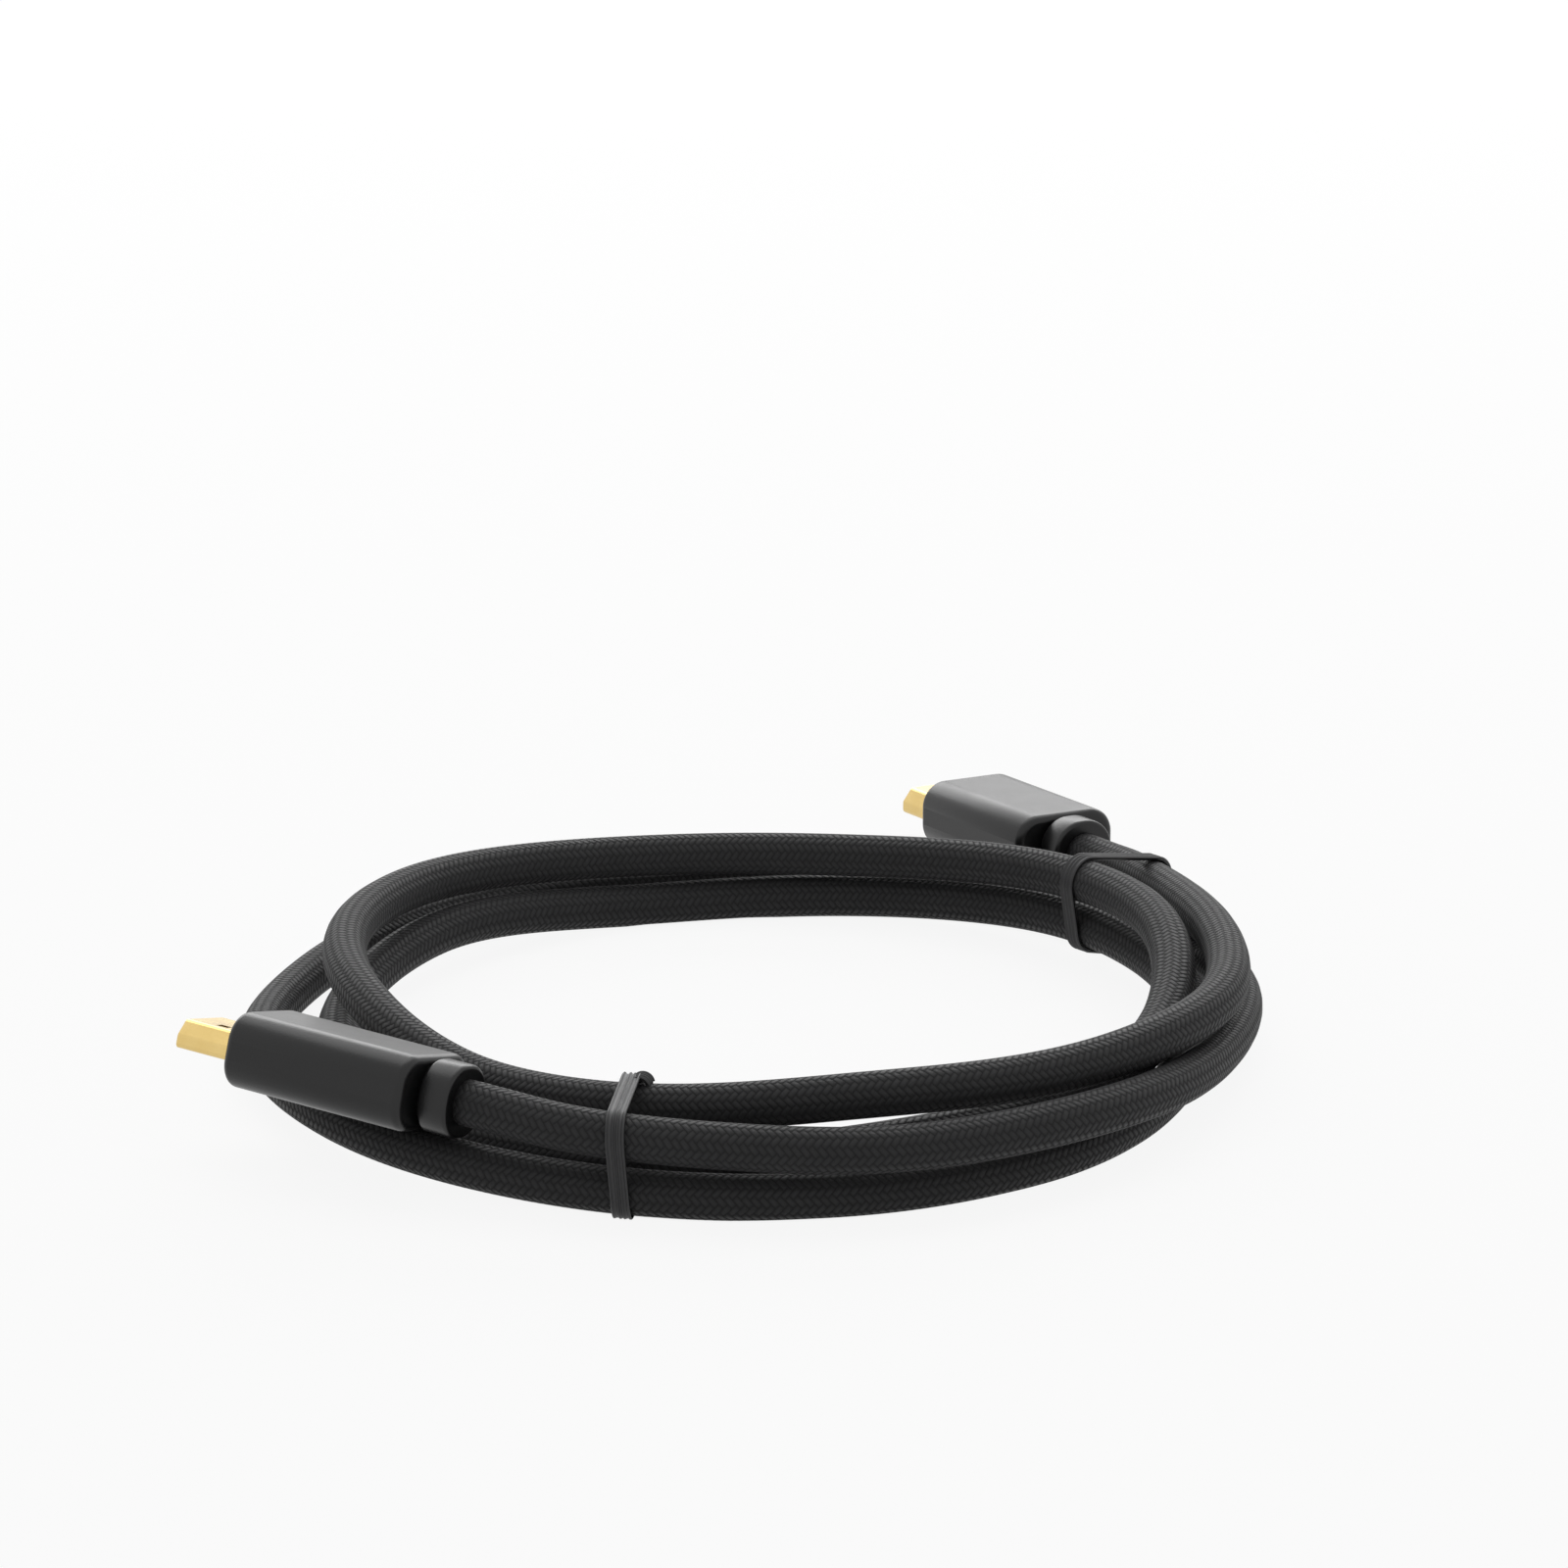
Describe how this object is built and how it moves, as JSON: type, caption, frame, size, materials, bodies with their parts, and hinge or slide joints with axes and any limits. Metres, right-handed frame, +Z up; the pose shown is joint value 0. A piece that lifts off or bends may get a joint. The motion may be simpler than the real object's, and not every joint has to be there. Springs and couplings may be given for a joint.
{
  "type": "audio video cable",
  "caption": "Coiled braided audio and video cable with a flat D-shaped gold plug in a black moulded housing at each end, held by twist ties.",
  "frame": {"origin": "middle of the underside of the whole part's box, on the surface that the coil lies on", "axes": "+Z up from the surface, +Y from the near tie towards the far plug, which is the long way of the part, +X to the right"},
  "size_m": [0.17, 0.2084, 0.0244],
  "materials": {
    "braid": "fine woven black braid with a slight sheen",
    "housing": "satin black moulded plastic",
    "gold_plate": "bright gold plating",
    "insulator": "black moulded insulator",
    "tie": "flat dark grey plastic with lengthwise ribs",
    "core": "inner jacket, hidden",
    "ferrule": "crimped sheet metal, hidden",
    "inner_mould": "plain inner mould, hidden"
  },
  "bodies": {
    "root": {"braided_cable": "braid", "near_tie": "tie", "far_tie": "tie", "left_housing": "housing", "left_strain_relief": "housing", "left_cable_core": "core", "left_crimp_ferrule": "ferrule", "left_inner_mould": "inner_mould", "left_plug_shell": "gold_plate", "left_contact_carrier": "insulator", "left_wide_contacts": "gold_plate", "left_narrow_contacts": "gold_plate", "right_housing": "housing", "right_strain_relief": "housing", "right_cable_core": "core", "right_crimp_ferrule": "ferrule", "right_inner_mould": "inner_mould", "right_plug_shell": "gold_plate", "right_contact_carrier": "insulator", "right_wide_contacts": "gold_plate", "right_narrow_contacts": "gold_plate"}
  },
  "joints": []
}
